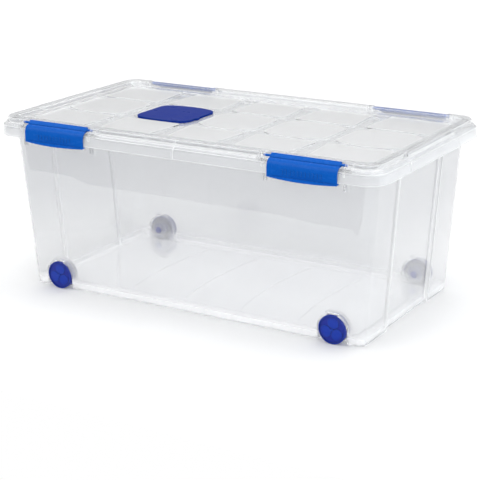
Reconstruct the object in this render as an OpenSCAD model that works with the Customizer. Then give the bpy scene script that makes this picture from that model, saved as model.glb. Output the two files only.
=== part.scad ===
// Wheeled storage box with a lift-off lid, four hinged clips and a cover plate.
// Frame: X along the long side, Y across it, Z up. The origin is on the floor, under the middle of the box.

/* [Tub] */
// Length of the tub over its bottom edge
tub_l = 637; // [600:1:660]
// Width of the tub over its bottom edge
tub_w = 320; // [300:1:326]
// Height of the tub's rim above the floor
rim_z = 286; // [240:1:320]
// Gap between the tub's underside and the floor
ground_gap = 4; // [3:0.5:6]
// Wall thickness of the tub
wall = 2.2; // [2:0.1:2.6]
// Corner radius at the tub's bottom edge
tub_r = 12; // [8:1:20]
// Depth of the sunken panel in each end wall
panel_in = 5; // [3:0.5:7]
// Width of the sunken panel in each end wall
panel_w = 156; // [120:1:180]

/* [Lid] */
// Length of the lid over its skirt
lid_l = 720; // [700:1:740]
// Width of the lid over its skirt
lid_w = 394; // [388:1:400]
// Corner radius of the lid's skirt
lid_r = 36; // [32:1:44]
// Depth of the grooves between the lid's tiles
groove_h = 2.6; // [1.5:0.1:2.8]
// Distance from the middle of the lid to the middle of each inner groove
inner_groove_x = 63; // [58:1:68]
// Distance from the middle of the lid to the middle of each outer groove
outer_groove_x = 195; // [190:1:200]

/* [Clips] */
// Length of each clip
clip_l = 119; // [90:1:124]
// Distance from the lid's middle to the middle of each clip
clip_x = 232; // [220:1:240]
// Radius of a clip's hinge pin
pin_r = 2; // [1.6:0.1:2.2]

/* [Wheels] */
// Radius of each wheel
wheel_r = 24; // [20:0.5:25]
// Distance from the middle of the box to each wheel's axle, along X
wheel_x = 265.5; // [250:0.5:270]
// Radius of the wheel's axle stub
axle_r = 5; // [4:0.1:6]

/* [Hidden] */
$fn = 64;
eps = 0.01;

// Tub
draft = 0.0796; // how far a wall leans out for each mm of height
tub_hx = tub_l / 2;
tub_hy = tub_w / 2;
floor_t = 2.4;
floor_lift = 3; // the middle of the floor stands this much higher than its edge
floor_edge = 26; // width of the floor's lower edge
flange_t = 2.2;
flange_in = 4.5; // the rim's flange stops this far inside the skirt's face
lip_t = 2;
lip_drop = 13;
rim_fin_t = 4;
rim_fin_z = 254;
floor_rib_pitch = 108;
floor_rib_x = -142;
floor_rib_bow = 12;

// Lid heights, from the floor
skin = 2.2;
lid_z = rim_z + 14.5;
skirt_z = rim_z - 16;
shoulder_z = rim_z + 1;
step_z = rim_z + 6.5;
crest_z = lid_z - 1.6;
field_z = rim_z + 6;
groove_z = field_z - groove_h;

// Lid outline. Insets are measured from the skirt's face.
lid_hx = lid_l / 2;
lid_hy = lid_w / 2;
skirt_slope = -0.08;
shoulder_slope = -1.1;
ridge_slope = -0.08;
crest_slope = -1.1;
ridge_in = 9.2;
pan_in = 26;
pan_r = 14;
pan_slope = 0.35;
end_slope_in = 38; // the long foot of the ridge at each end
end_slope_half = 158;
grip_half = 88; // half the wider stretch of ridge at each end
grip_out = 3;
mark_w = 3;

// Tiles and grooves
groove_half = 8.5; // half a groove's width at the middle of the lid
groove_flare = 8.5; // how much wider each side of it is at the ends
tile_end_x = 322;
tile_end_y = 145;
tile_r = 10;
mid_r = 20;
mid_top_y = 57.5; // the middle row's tiles at the middle of their long sides
mid_bow = 18.5; // how far those sides bow out
bow_corner = 0.4; // where a bowed side's rounded corner starts, as a share of the bow
outer_row_y = 62;
row_strip_w = 20; // width of the strip under a groove between two rows, beyond its bow
ramp_y = 160;
flare_r = (tile_end_y * tile_end_y + groove_flare * groove_flare) / (2 * groove_flare);
col_edges = [-tile_end_x, -outer_groove_x, -inner_groove_x, inner_groove_x, outer_groove_x, tile_end_x];

// Cover plate
plate_x = -123;
plate_y = -3;
plate_hx = 53.2;
plate_hy = 55;
plate_bow = 10;
plate_r = 20;
plate_floor = field_z - 2;
plate_top = field_z + 1.6;
plate_gap = 0.3;
plate_tab_r = 9;
plate_tab_out = 3;
plate_tab_y = -14;

// Clips. Out is the distance from the lid's long centre line.
pin_out = lid_hy - 11;
pin_z = rim_z + 9.2;
pin_gap = 0.08;
pin_end = 11.5; // the pin's length beyond each end of the clip
cheek_gap = 8.5; // from a clip's end to the lid's cheek
cheek_t = 12;
fin_t = 2.2;
pocket_out = pin_out - 6.2;
pocket_z = rim_z + skin;
clip_half = clip_l / 2;
clip_face = lid_hy + 2.8;
clip_low = skirt_z - 1.7;
lip_reach = 5;
grip_ribs = 11;
grip_rib_pitch = 6.5;

// Wheels
wheel_z = wheel_r;
wheel_face = tub_hy + 2.8;
wheel_t = 13.5;
well_gap = 2;
well_t = 2;
well_r = wheel_r + well_gap;
well_out = wheel_face - wheel_t - 1; // the well's inner wall
well_key = 10; // half the width of the flat top of the well
cup_r = 15;
cup_end = well_out - 8.5;
hub_r = 13.4;
axle_gap = 0.08;
snap_r = axle_r + 1.2;
snap_out = cup_end - well_t - 1; // where the axle's snap head starts

SIDES = ["front", "back"];
ENDS = ["left", "right"];

// ---------- Shared shapes ----------

// A block with rounded corners whose sides lean out by slope for each mm of height.
module drafted_block(hx, hy, r, z0, z1, slope) {
    h = z1 - z0;
    grow = h * slope;
    xc = hx - r;
    yc = hy - r;
    translate([0, 0, z0]) {
        for (x = [-xc, xc]) for (y = [-yc, yc])
            translate([x, y, 0]) cylinder(h = h, r1 = r, r2 = r + grow);
        translate([-xc, 0, 0]) rotate([90, 0, 90]) linear_extrude(2 * xc)
            polygon([[-hy, 0], [hy, 0], [hy + grow, h], [-hy - grow, h]]);
        translate([0, yc, 0]) rotate([90, 0, 0]) linear_extrude(2 * yc)
            polygon([[-hx, 0], [hx, 0], [hx + grow, h], [-hx - grow, h]]);
    }
}

// A flat outline with rounded corners.
module rounded(hx, hy, r) {
    square([2 * hx, 2 * (hy - r)], center = true);
    square([2 * (hx - r), 2 * hy], center = true);
    for (x = [r - hx, hx - r]) for (y = [r - hy, hy - r]) translate([x, y]) circle(r);
}

// A flat outline with rounded corners, whose two long sides bow out by bow to y = top.
module bowed(half, top, bow, r) {
    bow_r = arc_r(half, bow);
    intersection() {
        union() {
            rounded(half, top - bow_corner * bow, r);
            square([2 * half - 1.4 * r, 2 * top + 1], center = true);
        }
        translate([0, top - bow_r]) circle(bow_r, $fn = 180);
        translate([0, bow_r - top]) circle(bow_r, $fn = 180);
    }
}

// Draws its children, which are on the front (-Y) side, on the back too.
module both_sides() {
    children();
    rotate([0, 0, 180]) children();
}

// An outline of [out, z] points on the front side, from x0 to x1.
module front_bar(points, x0, x1) {
    translate([x0, 0, 0]) rotate([90, 0, 90]) linear_extrude(x1 - x0)
        polygon([for (p = points) [-p[0], p[1]]]);
}

// Radius of the arc that rises by rise over a chord of 2 * half.
function arc_r(half, rise) = (half * half + rise * rise) / (2 * rise);

// ---------- Tub ----------

// What an end wall's sunken panel takes off a block; extra moves it in and widens it.
module end_panels(extra) {
    z0 = ground_gap - 1;
    z1 = rim_z - flange_t;
    x0 = tub_hx - panel_in - extra;
    half = panel_w / 2 + extra;
    far = tub_hx + 60;
    for (turn = [0, 180]) rotate([0, 0, turn])
        translate([0, half, 0]) rotate([90, 0, 0]) linear_extrude(2 * half)
            polygon([[x0 - draft, z0], [far, z0], [far, z1], [x0 + (z1 - ground_gap) * draft, z1]]);
}

// The raised middle of the floor; inset makes it smaller.
module floor_middle(inset, z0, z1) {
    drafted_block(tub_hx - floor_edge - inset, tub_hy - floor_edge - inset, tub_r, z0, z1, -0.6);
}

// The outline of a wheel well, seen along its axle: a round arch with a flat key on top.
module arch(r) {
    circle(r);
    translate([-r, -wheel_z - 1]) square([2 * r, wheel_z + 1]);
    translate([-well_key - r + well_r, 0]) square([2 * (well_key + r - well_r), r]);
}

// An outline in the X-Z plane at a wheel's axle, drawn between two distances out on the front side.
module at_wheel(x, out0, out1) {
    translate([x, -out0, wheel_z]) rotate([90, 0, 0]) linear_extrude(out1 - out0) children();
}

module wells_outside() {
    both_sides() for (x = [-wheel_x, wheel_x]) {
        at_wheel(x, well_out - well_t, tub_hy + 2) arch(well_r + well_t);
        at_wheel(x, cup_end - well_t, well_out) circle(cup_r + well_t);
    }
}

module wells_inside() {
    both_sides() for (x = [-wheel_x, wheel_x]) {
        at_wheel(x, well_out, tub_hy + 20) arch(well_r);
        at_wheel(x, cup_end, well_out + 1) circle(cup_r);
        at_wheel(x, cup_end - well_t - 1, cup_end + 1) circle(axle_r + axle_gap);
    }
}

// The fins under the rim, one beside each end of each clip.
module rim_fins() {
    root = tub_hy + (rim_fin_z - ground_gap) * draft - 1;
    tip = lid_hy - flange_in - lip_t + 0.5;
    both_sides() for (x = [-clip_x, clip_x]) for (side = [-1, 1]) {
        mid = x + side * (clip_half + cheek_gap);
        front_bar([[root, rim_fin_z - 2], [tip, rim_fin_z + 3], [tip, rim_z - 1], [root, rim_z - 1]],
            mid - rim_fin_t / 2, mid + rim_fin_t / 2);
    }
}

// Low curved ribs across the floor.
module floor_ribs() {
    half = tub_hy - floor_edge - 12;
    r = arc_r(half, floor_rib_bow);
    z0 = ground_gap + floor_lift + floor_t;
    translate([0, 0, z0 - eps]) linear_extrude(0.7 + eps) intersection() {
        for (i = [0 : 3]) translate([floor_rib_x + i * floor_rib_pitch + r - floor_rib_bow, 0])
            difference() {
                circle(r, $fn = 360);
                circle(r - 1.4, $fn = 360);
            }
        for (i = [0 : 3]) translate([floor_rib_x + i * floor_rib_pitch - floor_rib_bow - 1, -half])
            square([floor_rib_bow + 3, 2 * half]);
    }
}

module tub_hollow() difference() {
    drafted_block(tub_hx - wall, tub_hy - wall, tub_r - wall, ground_gap + floor_t, rim_z + 2, draft);
    end_panels(wall);
    wells_outside();
    floor_middle(-floor_t * 0.6, ground_gap, ground_gap + floor_lift + floor_t);
}

module rim_ring(inset) {
    rounded(lid_hx - flange_in - inset, lid_hy - flange_in - inset, lid_r - flange_in - inset);
}

module tub() color([0.86, 0.88, 0.9, 0.4]) difference() {
    union() {
        difference() {
            drafted_block(tub_hx, tub_hy, tub_r, ground_gap, rim_z, draft);
            end_panels(0);
            floor_middle(0, ground_gap - eps, ground_gap + floor_lift);
        }
        translate([0, 0, rim_z - flange_t]) linear_extrude(flange_t) rim_ring(0);
        translate([0, 0, rim_z - lip_drop]) linear_extrude(lip_drop) difference() {
            rim_ring(0);
            rim_ring(lip_t);
        }
        rim_fins();
    }
    difference() {
        tub_hollow();
        floor_ribs();
    }
    wells_inside();
}

// ---------- Lid ----------

// The outline of one tile: column 0 to 4 from the left, row -1, 0 or 1 from front to back.
module tile(col, row) {
    x0 = col_edges[col] + (col > 0 ? groove_half : 0);
    x1 = col_edges[col + 1] - (col < 4 ? groove_half : 0);
    half = (x1 - x0) / 2;
    intersection() {
        translate([x0 + half, row * (outer_row_y + tile_end_y) / 2]) {
            if (row == 0) bowed(half, mid_top_y, mid_bow, mid_r);
            if (row != 0) rounded(half, (tile_end_y - outer_row_y) / 2, tile_r);
        }
        if (col > 0) translate([x0 + flare_r, 0]) circle(flare_r, $fn = 720);
        if (col < 4) translate([x1 - flare_r, 0]) circle(flare_r, $fn = 720);
    }
}

// The net of grooves between the tiles.
module grooves() difference() {
    square([2 * tile_end_x - 2, 2 * tile_end_y], center = true);
    for (row = [-1, 0, 1]) for (col = [0 : 4]) tile(col, row);
}

// Strips of material under the grooves, which keep the lid's thickness there.
module under_grooves() {
    flare = groove_half + groove_flare + skin;
    for (i = [1 : 4]) translate([col_edges[i], 0]) square([2 * flare, 2 * ramp_y], center = true);
    for (y = [-1, 1]) translate([0, y * (outer_row_y - mid_bow / 2)])
        square([2 * tile_end_x, mid_bow + row_strip_w], center = true);
}

// The slopes where the long ends of the grooves run up to the panel.
module groove_ramps() {
    half = groove_half + groove_flare;
    foot = tile_end_y - 1;
    both_sides() for (i = [1 : 4])
        front_bar([[foot, groove_z], [ramp_y, field_z], [ramp_y, field_z + 1], [foot, field_z + 1]],
            col_edges[i] - half, col_edges[i] + half);
}

// The cover plate's outline, with a round tab on its right; grow makes it larger all round.
module plate_outline(grow) translate([plate_x, plate_y]) {
    bowed(plate_hx + grow, plate_hy + grow, plate_bow, plate_r + grow);
    translate([plate_hx - plate_tab_r + plate_tab_out, plate_tab_y]) circle(plate_tab_r + grow);
}

// The lid's outer shape, as a stack of drafted blocks; inset takes a wall's thickness off it.
module lid_stack(inset) {
    z1 = shoulder_z - inset * 0.6;
    z3 = crest_z - inset * 0.6;
    in1 = inset - (shoulder_z - skirt_z) * skirt_slope;
    in2 = inset + ridge_in;
    in3 = in2 - (crest_z - step_z) * ridge_slope;
    drafted_block(lid_hx - inset, lid_hy - inset, lid_r - inset, skirt_z, z1, skirt_slope);
    drafted_block(lid_hx - in1, lid_hy - in1, lid_r - in1, z1, step_z - inset, shoulder_slope);
    drafted_block(lid_hx - in2, lid_hy - in2, lid_r - in2, step_z - inset - eps, z3, ridge_slope);
    drafted_block(lid_hx - in3, lid_hy - in3, lid_r - in3, z3 - eps, lid_z - inset, crest_slope);
}

// The lid's sunken panel, drawn as the solid above it.
module lid_pan(extra, z0, z1) {
    drafted_block(lid_hx - pan_in + extra, lid_hy - pan_in + extra, pan_r + extra, z0, z1, pan_slope);
}

// The long slopes between the panel and the ridge at each end of the lid.
module end_slopes(drop) {
    x0 = lid_hx - end_slope_in;
    x1 = lid_hx - pan_in + 4;
    for (turn = [0, 180]) rotate([0, 0, turn])
        translate([0, end_slope_half, 0]) rotate([90, 0, 0]) linear_extrude(2 * end_slope_half)
            polygon([[x0, field_z - 1], [x0, field_z - drop], [x1, lid_z - 1.4 - drop], [x1, field_z - 1]]);
}

// The space that a clip's hinge swings in; t makes it bigger on the inside.
module clip_pockets(t) {
    half = clip_half + cheek_gap + 1;
    near = pocket_out - t;
    far = lid_hy + 5;
    both_sides() for (x = [-clip_x, clip_x])
        front_bar([[near, pocket_z - t], [far, pocket_z - t], [far, lid_z + 5], [near, lid_z + 5]],
            x - half, x + half);
}

// The cheeks that hold a clip's pins: a thin fin and the block behind it.
module cheeks() {
    near = clip_half + cheek_gap;
    back = pocket_out - skin;
    slope = pin_out + pin_z + 4.6; // out + z along the sloping edge
    both_sides() for (x = [-clip_x, clip_x]) translate([x, 0, 0]) for (side = [0, 1]) mirror([side, 0, 0]) {
        front_bar([[back, rim_z], [lid_hy - 3, rim_z], [lid_hy - 3, skirt_z + 8.5],
            [lid_hy + 1.6, skirt_z + 11.5], [lid_hy + 1.6, slope - lid_hy - 1.6],
            [slope - lid_z + 0.4, lid_z - 0.4], [back, lid_z - 0.4]], near, near + fin_t);
        front_bar([[back, rim_z], [lid_hy - 3, rim_z], [lid_hy - 1.2, slope - lid_hy + 1.2],
            [slope - lid_z + 0.6, lid_z - 0.6], [back, lid_z - 0.6]], near + fin_t - eps, near + cheek_t);
    }
}

module pin_bores() {
    both_sides() for (x = [-clip_x, clip_x])
        translate([x - clip_half - pin_end - 0.4, -pin_out, pin_z]) rotate([0, 90, 0])
            cylinder(h = clip_l + 2 * pin_end + 0.8, r = pin_r + pin_gap);
}

// The wider stretch of ridge at each end of the lid, and its step down the skirt.
module end_grips() {
    x0 = lid_hx - ridge_in - 6;
    x1 = lid_hx - ridge_in + grip_out;
    x2 = lid_hx + 0.6;
    x3 = x2 + (shoulder_z - skirt_z) * skirt_slope;
    for (turn = [0, 180]) rotate([0, 0, turn]) translate([0, grip_half, 0]) rotate([90, 0, 0])
        linear_extrude(2 * grip_half) {
            polygon([[x0, step_z - 2], [x1, step_z - 2], [x1, step_z + 3], [x1 - 3, lid_z - 0.4],
                [x0, lid_z - 0.4]]);
            polygon([[x2 - 2.6, skirt_z], [x2, skirt_z], [x3, shoulder_z], [x3 - 2, shoulder_z]]);
        }
}

// The mark across the middle of each long side.
module centre_marks() {
    both_sides() front_bar([[lid_hy - 1.5, skirt_z], [lid_hy + 0.5, skirt_z], [lid_hy - 0.9, shoulder_z],
        [lid_hy - 7.2, step_z], [lid_hy - ridge_in - 0.2, crest_z], [lid_hy - ridge_in - 3, crest_z],
        [lid_hy - ridge_in - 1, step_z - 1], [lid_hy - 3, shoulder_z]], -mark_w / 2, mark_w / 2);
}

module lid() color([0.9, 0.91, 0.93, 0.6]) difference() {
    union() {
        difference() {
            union() {
                difference() {
                    lid_stack(0);
                    lid_pan(0, field_z, lid_z + 1);
                }
                end_slopes(0);
            }
            difference() {
                lid_stack(skin);
                lid_pan(skin, field_z - skin, lid_z + 1);
                end_slopes(skin);
                clip_pockets(skin);
            }
            clip_pockets(0);
        }
        cheeks();
        end_grips();
        centre_marks();
        translate([0, 0, groove_z - skin]) linear_extrude(field_z - groove_z) under_grooves();
        translate([0, 0, plate_floor - skin]) linear_extrude(skin) plate_outline(skin);
    }
    translate([0, 0, groove_z]) linear_extrude(field_z - groove_z + eps) grooves();
    groove_ramps();
    translate([0, 0, plate_floor]) linear_extrude(5) plate_outline(plate_gap);
    pin_bores();
}

module cover_plate() color([0.08, 0.16, 0.6]) {
    translate([0, 0, plate_floor]) linear_extrude(plate_top - plate_floor - 0.6) plate_outline(0);
    translate([0, 0, plate_top - 0.6 - eps]) linear_extrude(0.6 + eps) plate_outline(-0.6);
}

// ---------- Clips ----------

// The clip's outline, as [out, z] points: hinge strip, groove, curved shoulder, face and hook.
clip_outline = [
    [pin_out - 3.4, pin_z + 3.9], [pin_out - 2.4, pin_z + 4.5], [pin_out + 3.3, pin_z - 0.2],
    [pin_out + 3.6, pin_z - 1.6], [pin_out + 5.4, pin_z - 1.9], [pin_out + 8.2, pin_z - 3.1],
    [clip_face - 2.8, pin_z - 5.8], [clip_face - 0.9, pin_z - 9.8], [clip_face - 0.2, pin_z - 14.4],
    [clip_face, clip_low], [clip_face - 1.2, clip_low - 1.9], [lid_hy - 3.8, clip_low - 1.9],
    [lid_hy - 3.8, clip_low - 0.4], [lid_hy + 0.8, clip_low + 1], [clip_face - 2.1, pin_z - 14.4],
    [clip_face - 2.8, pin_z - 10.5], [clip_face - 4.4, pin_z - 7.2], [pin_out + 7.1, pin_z - 5.1],
    [pin_out + 4.8, pin_z - 4], [pin_out + 1.2, pin_z - 3.2], [pin_out - 1.2, pin_z - 3.2],
    [pin_out - 3.4, pin_z - 1]
];

// One clip on the front side, its middle at x = 0.
module clip() color([0.02, 0.3, 0.75]) {
    front_bar(clip_outline, -clip_half, clip_half);
    translate([-clip_half - pin_end, -pin_out, pin_z]) rotate([0, 90, 0])
        cylinder(h = clip_l + 2 * pin_end, r = pin_r);
    finger_lip();
    grips();
}

// The finger lip under the clip's face: a thin sloping tongue with a bowed edge.
module finger_lip() intersection() {
    front_bar([[clip_face - 1.4, clip_low + 0.2], [clip_face, clip_low],
        [clip_face + lip_reach, clip_low - 2.6], [clip_face + lip_reach, clip_low - 4],
        [clip_face - 1.4, clip_low - 1.9]], -clip_half, clip_half);
    translate([0, arc_r(clip_half, lip_reach) - clip_face - lip_reach, clip_low - 10])
        cylinder(h = 20, r = arc_r(clip_half, lip_reach), $fn = 360);
}

// A row of low upright ribs on the clip's face.
module grips() {
    for (i = [0 : grip_ribs - 1]) {
        x = (i - (grip_ribs - 1) / 2) * grip_rib_pitch;
        front_bar([[clip_face - 1, clip_low + 4], [clip_face + 0.35, clip_low + 4.5],
            [clip_face + 0.3, clip_low + 11.5], [clip_face - 1, clip_low + 12]], x - 1.2, x + 1.2);
    }
}

// Puts a part drawn on the front side, at x = 0, in its place.
module place(side, end, x) {
    away = (end == "right") == (side == "front") ? 1 : -1;
    rotate([0, 0, side == "back" ? 180 : 0]) translate([away * x, 0, 0]) children();
}

// ---------- Wheels ----------

// One wheel on the front side, its axle at x = 0. Heights below are distances out from the middle.
module wheel() color([0.1, 0.15, 0.7])
    translate([0, 0, wheel_z]) rotate([90, 0, 0]) difference() {
        union() {
            translate([0, 0, wheel_face - wheel_t]) cylinder(h = wheel_t - 1, r = wheel_r);
            translate([0, 0, wheel_face - 1 - eps]) cylinder(h = 1 + eps, r1 = wheel_r, r2 = wheel_r - 1);
            translate([0, 0, cup_end + 0.6]) cylinder(h = wheel_face - cup_end - 4, r = hub_r);
            translate([0, 0, snap_out]) cylinder(h = well_t + 3, r = axle_r);
            translate([0, 0, snap_out - 2.4]) cylinder(h = 2.4 + eps, r1 = axle_r - 0.8, r2 = snap_r);
            translate([0, 0, snap_out]) cylinder(h = 0.6, r = snap_r);
        }
        difference() {
            translate([0, 0, wheel_face - wheel_t - 1]) cylinder(h = wheel_t - 2.5, r = wheel_r - 2.4);
            cylinder(h = wheel_face, r = hub_r);
        }
        face_pattern();
    }

// The sunken face of a wheel: three round lobes and a middle stud stand in it.
module face_pattern() difference() {
    translate([0, 0, wheel_face - 1.4]) cylinder(h = 3, r = wheel_r - 2.4);
    cylinder(h = wheel_face - 0.2, r = 2.2);
    for (a = [80 : 120 : 320]) rotate([0, 0, a]) translate([0, 0, wheel_face - 2])
        linear_extrude(1.4) intersection() {
            translate([12, 0]) circle(9.6);
            circle(wheel_r - 3.4);
        }
}

tub();
lid();
cover_plate();
place("front", "left", clip_x) clip();  // clip_front_left
place("front", "right", clip_x) clip();  // clip_front_right
place("back", "left", clip_x) clip();  // clip_back_left
place("back", "right", clip_x) clip();  // clip_back_right
place("front", "left", wheel_x) wheel();  // wheel_front_left
place("front", "right", wheel_x) wheel();  // wheel_front_right
place("back", "left", wheel_x) wheel();  // wheel_back_left
place("back", "right", wheel_x) wheel();  // wheel_back_right
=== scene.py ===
import math

import bpy
from mathutils import Matrix, Vector


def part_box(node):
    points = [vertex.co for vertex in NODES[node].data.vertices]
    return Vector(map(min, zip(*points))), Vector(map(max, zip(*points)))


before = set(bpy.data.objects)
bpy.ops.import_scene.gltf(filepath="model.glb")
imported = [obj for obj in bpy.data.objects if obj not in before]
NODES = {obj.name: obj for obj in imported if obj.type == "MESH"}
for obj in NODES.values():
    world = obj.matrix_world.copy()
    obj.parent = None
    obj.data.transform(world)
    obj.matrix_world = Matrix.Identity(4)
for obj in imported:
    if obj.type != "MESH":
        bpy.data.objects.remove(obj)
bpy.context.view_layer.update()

MM = 0.001

# The camera, as fitted to the object's own edges.
CAMERA_AT = (1.2032, -1.9501, 0.8115)
CAMERA_YAW = math.radians(30.59)
CAMERA_PITCH = math.radians(17.72)
CAMERA_ROLL = -0.00802
LENS_MM = 104.99
LENS_SHIFT_X = -0.0511
LENS_SHIFT_Y = 0.0042

# The floor: how far it goes, where it ends in front, how far its painted contact shadow reaches, and the
# distances from the origin between which its painted glow brightens it.
FLOOR_REACH = 20
FLOOR_FRONT = -0.55
PAINTED_SHADOW_REACH = 0.16
GLOW_FROM = 0.9
GLOW_TO = 3.5

# Places on the tub: the steps at the sides of its end panels, which get a painted highlight, and the
# heights above its lowest point between which it whitens into the floor, as painted light.
PANEL_HALF = 78 * MM
PANEL_STEP = 3.5 * MM
END_WALL = 295 * MM
PAINTED_LIGHT_FROM = 22 * MM
PAINTED_LIGHT_TO = 10 * MM

# Places on the lid: the field of tiles, and how far their tops lie under the ridge.
TILES_HALF_X = 322 * MM
TILES_HALF_Y = 150 * MM
TILE_DROP = 8.5 * MM
TILE_FLAT = 0.15 * MM

# Softened edges.
JOIN_DISTANCE = 0.002 * MM
SHARP_SHADING = math.radians(24)
SHARP_EDGE = math.radians(35)
EDGE_CLEAR = 0.25 * MM
EDGE_BLUE = 0.35 * MM


# ---------- Camera, studio ----------

def add_camera():
    """The camera, turned by its yaw, then its pitch, then a slight roll."""
    flat = math.cos(CAMERA_PITCH)
    forward = Vector((-math.sin(CAMERA_YAW) * flat, math.cos(CAMERA_YAW) * flat, -math.sin(CAMERA_PITCH)))
    level = Vector((math.cos(CAMERA_YAW), math.sin(CAMERA_YAW), 0))
    upright = level.cross(forward)
    right = level * math.cos(CAMERA_ROLL) + upright * math.sin(CAMERA_ROLL)
    up = upright * math.cos(CAMERA_ROLL) - level * math.sin(CAMERA_ROLL)
    lens = bpy.data.cameras.new("camera")
    lens.sensor_width = 36
    lens.lens = LENS_MM
    lens.shift_x = LENS_SHIFT_X
    lens.shift_y = LENS_SHIFT_Y
    lens.clip_start = 0.05
    lens.clip_end = 60
    camera = bpy.data.objects.new("camera", lens)
    turn = Matrix((right, up, -forward)).transposed().to_4x4()
    camera.matrix_world = Matrix.Translation(CAMERA_AT) @ turn
    bpy.context.scene.collection.objects.link(camera)
    bpy.context.scene.camera = camera


def add_lamp(name, at, aim, size, power, tint=(1, 1, 1)):
    light = bpy.data.lights.new(name, "AREA")
    light.shape = "RECTANGLE"
    light.size, light.size_y = size
    light.energy = power
    light.color = tint
    lamp = bpy.data.objects.new(name, light)
    lamp.location = at
    lamp.rotation_euler = (Vector(aim) - Vector(at)).to_track_quat("-Z", "Y").to_euler()
    bpy.context.scene.collection.objects.link(lamp)


class Graph:
    """A material's node tree, with short calls to add to it."""

    def __init__(self, name):
        self.material = bpy.data.materials.new(name)
        self.material.use_nodes = True
        self.tree = self.material.node_tree
        self.tree.nodes.clear()
        self.out = self.node("ShaderNodeOutputMaterial")
        self.place = self.node("ShaderNodeTexCoord").outputs["Object"]

    def node(self, kind, inputs=None, **settings):
        n = self.tree.nodes.new(kind)
        for key, value in settings.items():
            setattr(n, key, value)
        for key, value in (inputs or {}).items():
            self.put(n.inputs[key], value)
        return n

    def put(self, socket, value):
        if isinstance(value, bpy.types.NodeSocket):
            self.tree.links.new(value, socket)
        else:
            socket.default_value = value

    def math(self, operation, a, b=0.0, clamp=False):
        return self.node("ShaderNodeMath", {0: a, 1: b}, operation=operation, use_clamp=clamp).outputs[0]

    def ranged(self, value, lo, hi, out_lo=0.0, out_hi=1.0):
        n = self.node("ShaderNodeMapRange", {0: value, 1: lo, 2: hi, 3: out_lo, 4: out_hi})
        return n.outputs[0]

    def noise(self, scale, stretch=(1, 1, 1), detail=3.0, rough=0.55):
        where = self.node("ShaderNodeMapping", {"Vector": self.place, "Scale": stretch}).outputs[0]
        n = self.node("ShaderNodeTexNoise", {
            "Vector": where, "Scale": scale, "Detail": detail, "Roughness": rough})
        return n.outputs["Fac"]

    def mixed(self, fac, a, b):
        n = self.node("ShaderNodeMix", data_type="RGBA")
        self.put(n.inputs[0], fac)
        self.put(n.inputs[6], a)
        self.put(n.inputs[7], b)
        return n.outputs[2]

    def rounded(self, radius):
        """A normal that softens sharp edges."""
        return self.node("ShaderNodeBevel", {"Radius": radius}, samples=4).outputs[0]

    def near(self, value, target, within):
        """1 where the value is within a distance of the target, 0 elsewhere."""
        n = self.node("ShaderNodeMath", {0: value, 1: target, 2: within}, operation="COMPARE")
        return n.outputs[0]

    def edges(self, radius):
        """1 along sharp edges, within the radius, and 0 on flat or gently curved faces."""
        normal = self.node("ShaderNodeNewGeometry").outputs["Normal"]
        soft = self.rounded(radius)
        match = self.node("ShaderNodeVectorMath", {0: normal, 1: soft}, operation="DOT_PRODUCT")
        return self.ranged(match.outputs["Value"], 0.995, 0.9)

    def bump(self, height, distance, strength, normal=None):
        n = self.node("ShaderNodeBump", {"Height": height, "Distance": distance, "Strength": strength})
        if normal is not None:
            self.put(n.inputs["Normal"], normal)
        return n.outputs[0]

    def lets_lamps_through(self, shader, tint):
        """The shader as the camera sees it, and clear for the lamps' rays."""
        lamp_ray = self.node("ShaderNodeLightPath").outputs["Is Shadow Ray"]
        clear = self.node("ShaderNodeBsdfTransparent", {"Color": (*tint, 1)}).outputs[0]
        return self.node("ShaderNodeMixShader", {0: lamp_ray, 1: shader, 2: clear}).outputs[0]

    def finish(self, shader):
        self.put(self.out.inputs["Surface"], shader)
        return self.material


def add_floor():
    """A pale floor that ends in front like a table, with a painted contact shadow near things, and a
    painted glow that brightens it far away into the white backdrop.
    """
    mesh = bpy.data.meshes.new("studio_floor")
    mesh.from_pydata([(-FLOOR_REACH, FLOOR_FRONT, 0), (FLOOR_REACH, FLOOR_FRONT, 0),
                      (FLOOR_REACH, FLOOR_REACH, 0), (-FLOOR_REACH, FLOOR_REACH, 0)], [], [(0, 1, 2, 3)])
    floor = bpy.data.objects.new("studio_floor", mesh)
    bpy.context.scene.collection.objects.link(floor)
    g = Graph("studio_floor")
    tone = g.mixed(g.noise(2.0), (0.9, 0.9, 0.9, 1), (0.93, 0.93, 0.93, 1))
    # Painted contact shadow: the floor's colour darkens where ambient occlusion finds things near.
    painted_shadow_ao = g.node("ShaderNodeAmbientOcclusion", {"Distance": PAINTED_SHADOW_REACH}, samples=8).outputs["AO"]
    tone = g.mixed(g.ranged(painted_shadow_ao, 0.95, 0.5), tone, (0.79, 0.79, 0.793, 1))
    grain = g.bump(g.noise(900), 0.0002, 0.2)
    # Painted glow: the floor emits light, more the farther it lies from the origin.
    away = g.node("ShaderNodeVectorMath", {0: g.place}, operation="LENGTH").outputs["Value"]
    glow = g.ranged(away, GLOW_FROM, GLOW_TO, 0.08, 0.34)
    shader = g.node("ShaderNodeBsdfPrincipled", {
        "Base Color": tone, "Roughness": 0.8, "Normal": grain,
        "Emission Color": (1, 1, 1, 1), "Emission Strength": glow})
    mesh.materials.append(g.finish(shader.outputs[0]))


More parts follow.
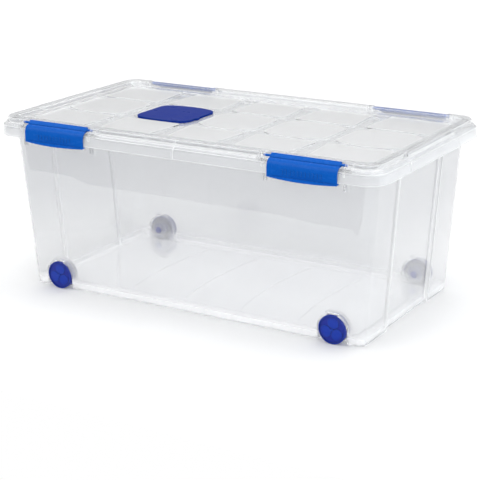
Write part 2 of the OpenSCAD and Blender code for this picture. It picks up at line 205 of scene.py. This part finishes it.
def add_world():
    """A white backdrop, seen directly or through plastic, in a room grey low down and white overhead."""
    world = bpy.data.worlds.new("studio")
    world.use_nodes = True
    tree = world.node_tree
    tree.nodes.clear()
    link = tree.links.new
    out = tree.nodes.new("ShaderNodeOutputWorld")
    room = tree.nodes.new("ShaderNodeBackground")
    backdrop = tree.nodes.new("ShaderNodeBackground")
    backdrop.inputs["Color"].default_value = (1, 1, 1, 1)
    where = tree.nodes.new("ShaderNodeTexCoord")
    split = tree.nodes.new("ShaderNodeSeparateXYZ")
    shade = tree.nodes.new("ShaderNodeValToRGB")
    ramp = shade.color_ramp
    ramp.elements[0].position = 0.1
    ramp.elements[0].color = (0.42, 0.43, 0.44, 1)
    ramp.elements[1].position = 0.7
    ramp.elements[1].color = (1, 1, 1, 1)
    link(where.outputs["Generated"], split.inputs[0])
    link(split.outputs["Z"], shade.inputs[0])
    link(shade.outputs[0], room.inputs["Color"])
    room.inputs["Strength"].default_value = 0.9
    seen = tree.nodes.new("ShaderNodeLightPath")
    mix = tree.nodes.new("ShaderNodeMixShader")
    either = tree.nodes.new("ShaderNodeMath")
    either.operation = "MAXIMUM"
    link(seen.outputs["Is Camera Ray"], either.inputs[0])
    link(seen.outputs["Is Transmission Ray"], either.inputs[1])
    link(either.outputs[0], mix.inputs[0])
    link(room.outputs[0], mix.inputs[1])
    link(backdrop.outputs[0], mix.inputs[2])
    link(mix.outputs[0], out.inputs["Surface"])
    bpy.context.scene.world = world


# ---------- Materials ----------

def clear_plastic():
    """Clear moulded plastic, a little milky, with flow marks; whiter in the floor as painted light, with
    painted highlights along edges and panel steps, and greyer up the walls as a painted reflection.
    """
    g = Graph("clear_plastic")
    x, y, z = g.node("ShaderNodeSeparateXYZ", {0: g.place}).outputs
    # The end panels' steps get a painted highlight, joined into the edge mask below.
    beside_panel = g.near(g.math("ABSOLUTE", y), PANEL_HALF, PANEL_STEP)
    painted_step_highlight = g.math("MULTIPLY", beside_panel, g.math("GREATER_THAN", g.math("ABSOLUTE", x), END_WALL))
    cloud = g.noise(7.0)
    scuff = g.ranged(g.noise(60, (1, 1, 9), 6.0), 0.58, 0.7)
    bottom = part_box("tub")[0].z
    # Painted light: the tub turns whiter and less clear toward its floor.
    low = g.ranged(z, bottom + PAINTED_LIGHT_FROM, bottom + PAINTED_LIGHT_TO)
    # Painted highlight: along sharp edges and panel steps the plastic turns whiter and less clear.
    edge = g.math("MAXIMUM", g.edges(0.8 * MM), g.math("MULTIPLY", painted_step_highlight, 0.7))
    colour = g.mixed(cloud, (0.75, 0.755, 0.768, 1), (0.78, 0.785, 0.795, 1))
    # Painted reflection: the walls are greyer high up and lighter toward the bottom.
    colour = g.mixed(g.ranged(z, 180 * MM, 60 * MM), colour, (0.86, 0.862, 0.867, 1))
    colour = g.mixed(low, colour, (0.96, 0.96, 0.965, 1))
    colour = g.mixed(edge, colour, (0.98, 0.98, 0.98, 1))
    rough = g.math("ADD", g.ranged(cloud, 0.3, 0.7, 0.02, 0.045), g.math("MULTIPLY", scuff, 0.05))
    fine = g.bump(g.noise(700.0), 0.00006, 0.03)
    clear = g.math("MULTIPLY", g.ranged(low, 0, 1, 0.91, 0.72), g.ranged(edge, 0, 1, 1.0, 0.35))
    shader = g.node("ShaderNodeBsdfPrincipled", {
        "Base Color": colour, "Roughness": rough, "Normal": fine,
        "Transmission Weight": clear, "IOR": 1.12,
        "Coat Weight": 1.0, "Coat Roughness": 0.02, "Coat IOR": 1.6})
    return g.finish(g.lets_lamps_through(shader.outputs[0], (0.88, 0.882, 0.888)))


def lid_plastic():
    """The same plastic, frosted on the tops of the tiles, with painted highlights along sharp edges."""
    g = Graph("lid_plastic")
    x, y, z = g.node("ShaderNodeSeparateXYZ", {0: g.place}).outputs
    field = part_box("lid")[1].z - TILE_DROP
    on_top = g.near(z, field, TILE_FLAT)
    inside_x = g.math("LESS_THAN", g.math("ABSOLUTE", x), TILES_HALF_X)
    inside_y = g.math("LESS_THAN", g.math("ABSOLUTE", y), TILES_HALF_Y)
    tile = g.math("MULTIPLY", on_top, g.math("MULTIPLY", inside_x, inside_y))
    # Painted highlight: along sharp edges the plastic turns whiter and less clear.
    edge = g.edges(1.1 * MM)
    cloud = g.noise(9.0)
    colour = g.mixed(cloud, (0.85, 0.855, 0.865, 1), (0.88, 0.885, 0.89, 1))
    colour = g.mixed(tile, colour, (0.94, 0.94, 0.942, 1))
    colour = g.mixed(edge, colour, (0.98, 0.98, 0.98, 1))
    rough = g.math("ADD", g.ranged(cloud, 0.3, 0.7, 0.03, 0.06), g.math("MULTIPLY", tile, 0.25))
    frost = g.math("MULTIPLY", g.noise(1800.0, detail=1.0), g.ranged(tile, 0, 1, 0.1, 0.7))
    fine = g.bump(frost, 0.00005, 0.4)
    skirt = g.ranged(z, field - 4 * MM, field - 9 * MM, 0.84, 0.68)
    ridge = g.ranged(z, field + 0.5 * MM, field + 3 * MM, 0, 0.1)
    clear = g.math("MINIMUM", g.math("ADD", skirt, ridge), g.ranged(tile, 0, 1, 1, 0.45))
    clear = g.math("MULTIPLY", clear, g.ranged(edge, 0, 1, 1.0, 0.3))
    shader = g.node("ShaderNodeBsdfPrincipled", {
        "Base Color": colour, "Roughness": rough, "Normal": fine,
        "Transmission Weight": clear, "IOR": 1.12,
        "Coat Weight": 1.0, "Coat Roughness": 0.04, "Coat IOR": 1.45})
    return g.finish(g.lets_lamps_through(shader.outputs[0], (0.94, 0.945, 0.95)))


def lobe_mask(g):
    """1 on the lobes that stand in a wheel's sunken face, for all four wheels."""
    low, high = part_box("wheel_front_right")
    axle = (low + high) / 2
    x, y, z = g.node("ShaderNodeSeparateXYZ", {0: g.place}).outputs
    along = g.math("SUBTRACT", g.math("ABSOLUTE", x), axle.x)
    up = g.math("SUBTRACT", z, axle.z)
    radius = high.z - axle.z
    out = g.math("SQRT", g.math("ADD", g.math("MULTIPLY", along, along), g.math("MULTIPLY", up, up)))
    proud = g.math("GREATER_THAN", g.math("ABSOLUTE", y), -low.y - 1.1 * MM)
    inner = g.ranged(out, radius * 0.88, radius * 0.6)
    return g.math("MULTIPLY", proud, inner)


def blue_plastic(name, dark, light, rough_lo, rough_hi, shine, lobes=False):
    """Solid coloured plastic: satin, with flow marks, rubbed spots, edges lighter partly from wear and
    partly as a painted highlight, painted shade in recesses and, on a wheel, lobes lighter as painted
    light.
    """
    g = Graph(name)
    flow = g.noise(45.0, (1, 1, 3))
    rub = g.ranged(g.noise(260, (4, 1, 1), 5.0), 0.6, 0.75)
    # Edges lighter blue in patches: partly wear, partly a painted highlight.
    edge = g.math("MULTIPLY", g.edges(0.5 * MM), g.ranged(rub, 0, 1, 0.3, 0.6))
    occlusion = g.node("ShaderNodeAmbientOcclusion", {"Distance": 2.5 * MM}, samples=8, only_local=True)
    colour = g.mixed(flow, (*dark, 1), (*light, 1))
    if lobes:
        # Painted light: the lobes that stand proud in a wheel's sunken face are lighter blue.
        colour = g.mixed(lobe_mask(g), colour, (0.003, 0.032, 0.35, 1))
    colour = g.mixed(g.math("MULTIPLY", rub, 0.06), colour, (0.2, 0.4, 0.8, 1))
    colour = g.mixed(edge, colour, (0.1, 0.32, 0.8, 1))
    # Painted shade: the colour darkens in recesses, where ambient occlusion finds the part close around.
    painted_recess_shade = g.ranged(occlusion.outputs["AO"], 0.95, 0.45, 0, 0.65)
    colour = g.mixed(painted_recess_shade, colour, (0, 0.01, 0.06, 1))
    rough = g.math("ADD", g.ranged(flow, 0.3, 0.7, rough_lo, rough_hi), g.math("MULTIPLY", rub, 0.15))
    grain = g.bump(g.noise(1500.0, detail=2.0), 0.00005, 0.3, g.rounded(0.5 * MM))
    shader = g.node("ShaderNodeBsdfPrincipled", {
        "Base Color": colour, "Roughness": rough, "Normal": grain, "IOR": 1.5,
        "Specular IOR Level": shine})
    return g.finish(shader.outputs[0])


def softener():
    """A node group that joins the frame's split corners and shades only the gentle edges smooth."""
    group = bpy.data.node_groups.new("softener", "GeometryNodeTree")
    group.interface.new_socket("Geometry", in_out="INPUT", socket_type="NodeSocketGeometry")
    group.interface.new_socket("Geometry", in_out="OUTPUT", socket_type="NodeSocketGeometry")
    start = group.nodes.new("NodeGroupInput")
    end = group.nodes.new("NodeGroupOutput")
    join = group.nodes.new("GeometryNodeMergeByDistance")
    join.inputs["Distance"].default_value = JOIN_DISTANCE
    faces = group.nodes.new("GeometryNodeSetShadeSmooth")
    edges = group.nodes.new("GeometryNodeSetShadeSmooth")
    edges.domain = "EDGE"
    edges.inputs["Shade Smooth"].default_value = False
    angle = group.nodes.new("GeometryNodeInputMeshEdgeAngle")
    sharp = group.nodes.new("FunctionNodeCompare")
    sharp.operation = "GREATER_THAN"
    sharp.inputs[1].default_value = SHARP_SHADING
    link = group.links.new
    link(start.outputs[0], join.inputs["Geometry"])
    link(join.outputs[0], faces.inputs["Geometry"])
    link(faces.outputs[0], edges.inputs["Geometry"])
    link(angle.outputs[0], sharp.inputs[0])
    link(sharp.outputs[0], edges.inputs["Selection"])
    link(edges.outputs[0], end.inputs[0])
    return group


def soften(piece, group, width):
    """Rounds a CAD node's sharp edges a little, with modifiers alone."""
    piece.modifiers.new("join", "NODES").node_group = group
    bevel = piece.modifiers.new("edges", "BEVEL")
    bevel.width = width
    bevel.segments = 2
    bevel.limit_method = "ANGLE"
    bevel.angle_limit = SHARP_EDGE
    bevel.harden_normals = True


def give(prefix, material):
    for name, piece in NODES.items():
        if name.startswith(prefix):
            piece.data.materials.clear()
            piece.data.materials.append(material)


scene = bpy.context.scene
scene.view_settings.view_transform = "Standard"
add_camera()
add_floor()
add_world()
add_lamp("key", (-1.6, -2.2, 2.6), (0, 0, 0.1), (2.2, 2.2), 23)
add_lamp("top", (0.4, 1.0, 3.2), (0, 0, 0.2), (3.0, 2.4), 24)
add_lamp("front", (0.8, -2.7, 0.9), (0, 0, 0.2), (3.0, 1.6), 13)
add_lamp("side", (2.6, -0.6, 1.1), (0.3, 0, 0.2), (2.4, 1.8), 20, (0.9, 0.96, 1))

give("tub", clear_plastic())
give("lid", lid_plastic())
give("cover_plate", blue_plastic("plate_blue", (0.006, 0.024, 0.23), (0.009, 0.03, 0.27),
                                 0.26, 0.34, 0.02))
give("clip", blue_plastic("clip_blue", (0.001, 0.094, 0.48), (0.002, 0.12, 0.56), 0.22, 0.3, 0.12))
give("wheel", blue_plastic("wheel_blue", (0.004, 0.016, 0.24), (0.008, 0.024, 0.31),
                           0.16, 0.24, 0.25, lobes=True))

SOFTENER = softener()
for name, piece in NODES.items():
    soften(piece, SOFTENER, EDGE_CLEAR if name in ("tub", "lid") else EDGE_BLUE)
